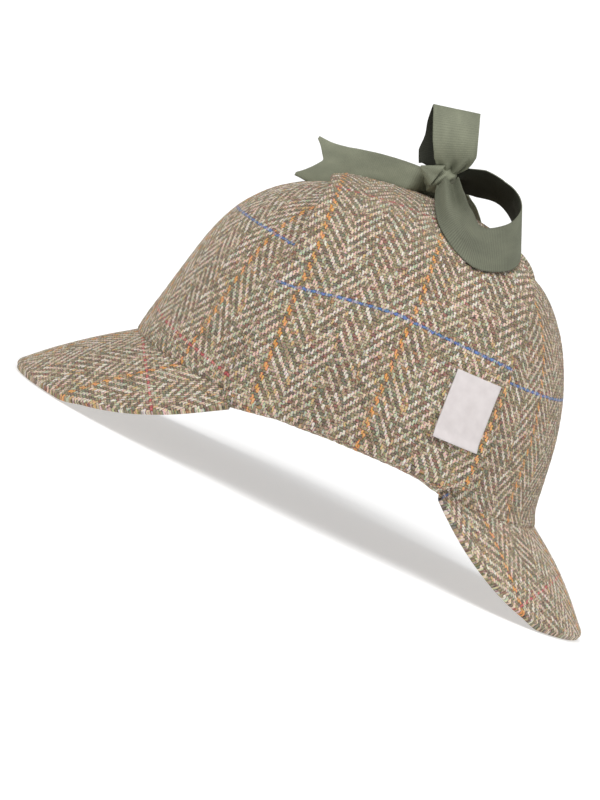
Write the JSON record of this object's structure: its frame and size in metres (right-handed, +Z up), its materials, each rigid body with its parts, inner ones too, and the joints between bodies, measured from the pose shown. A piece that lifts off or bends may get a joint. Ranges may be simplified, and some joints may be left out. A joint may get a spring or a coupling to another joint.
{
  "type": "deerstalker hat",
  "caption": "Tweed deerstalker with a gored crown, front and rear peaks, and earflaps tied up over the crown with a ribbon bow.",
  "frame": {"origin": "middle of the hat's footprint, on the surface that its two peaks rest on", "axes": "+X from the front peak to the rear peak, +Y to the wearer's right, +Z up"},
  "size_m": [0.3, 0.1848, 0.2053],
  "materials": {
    "tweed": "woollen herringbone tweed, grey-brown and cream, with fine orange, blue and red check lines",
    "ribbon": "grey-green grosgrain ribbon with fine cross ribs",
    "label": "white woven label, left blank"
  },
  "bodies": {
    "root": {"crown_gore_1": "tweed", "crown_gore_2": "tweed", "crown_gore_3": "tweed", "crown_gore_4": "tweed", "crown_gore_5": "tweed", "crown_gore_6": "tweed", "earflap_left": "tweed", "earflap_right": "tweed", "front_peak": "tweed", "rear_peak": "tweed", "ribbon_knot": "ribbon", "ribbon_loop_upright": "ribbon", "ribbon_loop_drooping": "ribbon", "ribbon_tail_front": "ribbon", "ribbon_tail_back": "ribbon", "woven_label": "label"}
  },
  "joints": []
}
